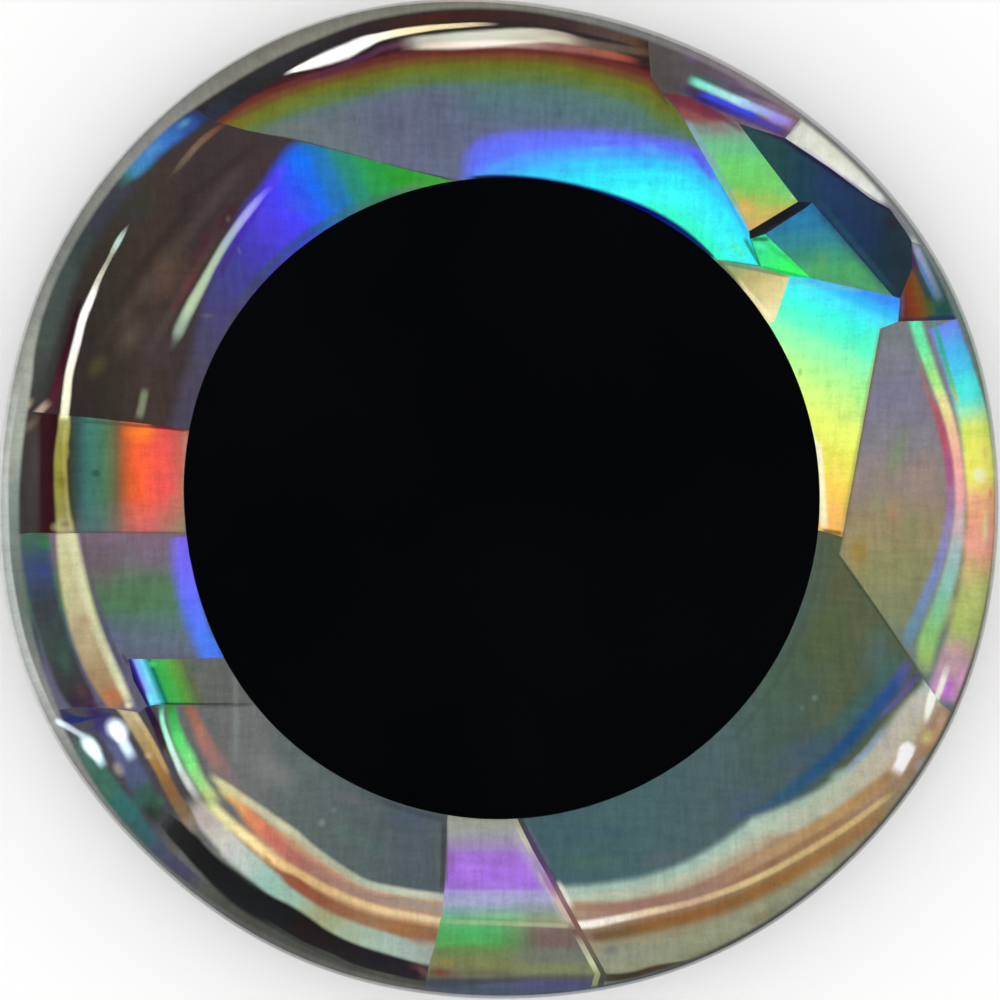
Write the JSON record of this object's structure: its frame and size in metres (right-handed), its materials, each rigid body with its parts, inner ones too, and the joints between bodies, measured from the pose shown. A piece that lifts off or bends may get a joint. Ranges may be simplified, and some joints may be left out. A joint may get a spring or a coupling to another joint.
{
  "type": "self-adhesive fishing lure eye",
  "caption": "Round stick-on fishing lure eye: a clear domed resin lens over a holographic foil disc with a printed black pupil and an adhesive back.",
  "frame": {"origin": "centre of the adhesive's underside, the face that the eye is stuck down by and rests on", "axes": "+Z out through the dome's apex, along the axis of the round disc; X to the right and Y up as the eye is seen from the front"},
  "size_m": [0.015, 0.015, 0.0031],
  "materials": {
    "clear_resin": "clear cast resin, glossy, water-white",
    "holographic_foil": "embossed holographic foil of large broken shards, each with its own rainbow",
    "black_ink": "screen-printed black ink seen through the resin",
    "adhesive": "milky, slightly tacky acrylic adhesive with the silver film showing through"
  },
  "bodies": {
    "root": {"resin_dome": "clear_resin", "holographic_film": "holographic_foil", "pupil_print": "black_ink", "adhesive_backing": "adhesive"}
  },
  "joints": []
}
